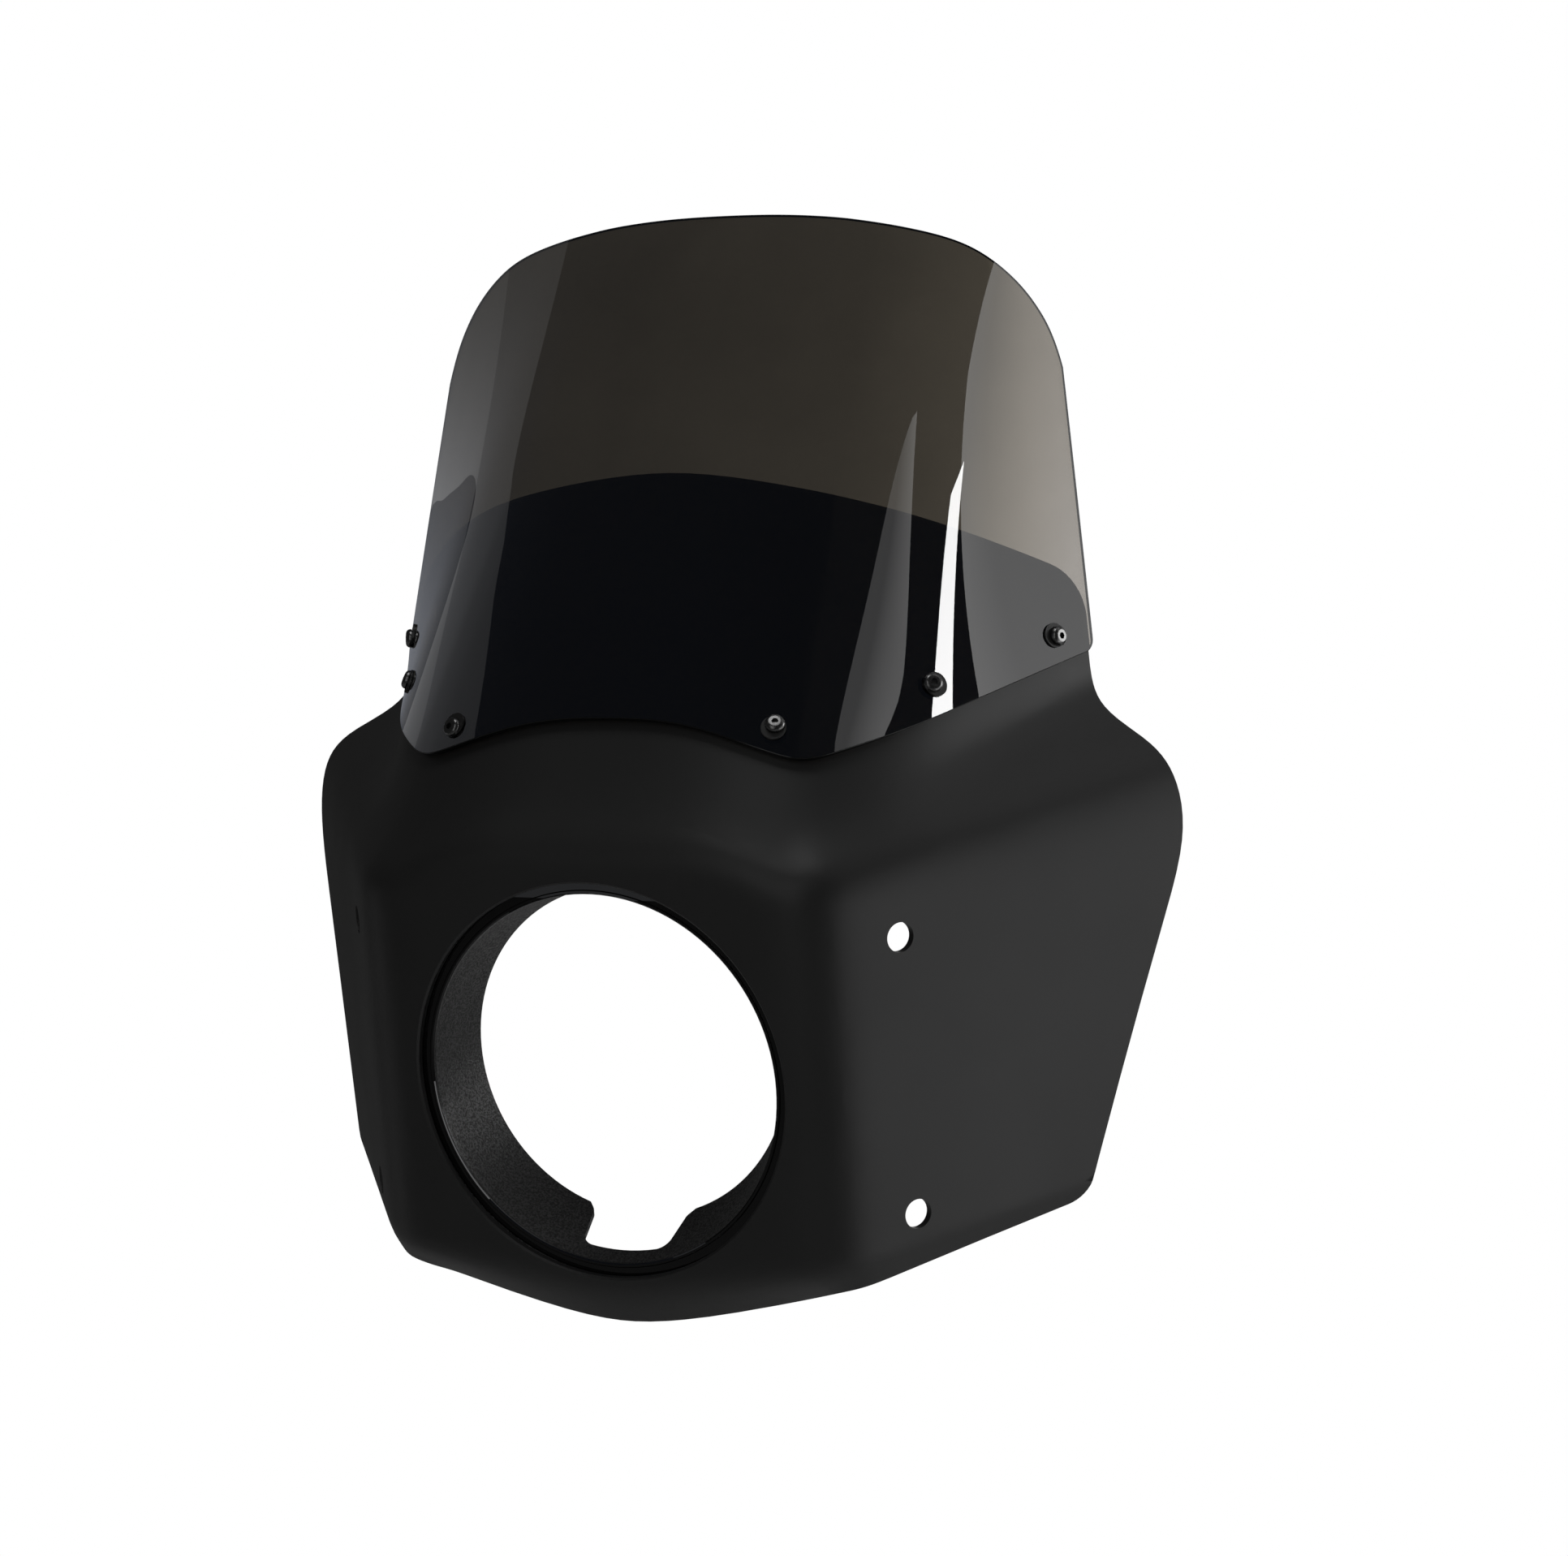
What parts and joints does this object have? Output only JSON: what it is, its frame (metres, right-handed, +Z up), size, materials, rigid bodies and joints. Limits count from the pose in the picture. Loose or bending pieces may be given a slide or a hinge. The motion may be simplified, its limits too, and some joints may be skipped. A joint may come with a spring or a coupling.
{
  "type": "headlight cowl",
  "caption": "Quarter cowl for a motorbike: black shell with a round headlight opening and a smoked windshield, fixed to the fork legs by four side holes.",
  "frame": {"origin": "centre of the round headlight opening, in the plane of the cowl's flat front face", "axes": "+Z up, -Y the way the headlight looks, +X to the right of a viewer in front of it"},
  "size_m": [0.4718, 0.2232, 0.5061],
  "materials": {
    "shell": "moulded satin black",
    "smoked_sheet": "polished dark smoke",
    "ring": "grained black",
    "black_screw": "black oxide",
    "black_nylon": "smooth",
    "rubber_sleeve": "moulded",
    "brass_insert": "turned",
    "zinc_screw": "zinc plated"
  },
  "bodies": {
    "root": {"cowl_shell": "shell", "windshield": "smoked_sheet", "headlight_ring": "ring", "windshield_screw_left_front": "black_screw", "nylon_washer_left_front": "black_nylon", "well_nut_sleeve_left_front": "rubber_sleeve", "well_nut_insert_left_front": "brass_insert", "windshield_screw_left_mid": "black_screw", "nylon_washer_left_mid": "black_nylon", "well_nut_sleeve_left_mid": "rubber_sleeve", "well_nut_insert_left_mid": "brass_insert", "windshield_screw_left_rear": "black_screw", "nylon_washer_left_rear": "black_nylon", "well_nut_sleeve_left_rear": "rubber_sleeve", "well_nut_insert_left_rear": "brass_insert", "windshield_screw_right_front": "black_screw", "nylon_washer_right_front": "black_nylon", "well_nut_sleeve_right_front": "rubber_sleeve", "well_nut_insert_right_front": "brass_insert", "windshield_screw_right_mid": "black_screw", "nylon_washer_right_mid": "black_nylon", "well_nut_sleeve_right_mid": "rubber_sleeve", "well_nut_insert_right_mid": "brass_insert", "windshield_screw_right_rear": "black_screw", "nylon_washer_right_rear": "black_nylon", "well_nut_sleeve_right_rear": "rubber_sleeve", "well_nut_insert_right_rear": "brass_insert", "ring_screw_top_right": "zinc_screw", "ring_screw_top_left": "zinc_screw", "ring_screw_bottom_left": "zinc_screw", "ring_screw_bottom_right": "zinc_screw"}
  },
  "joints": []
}
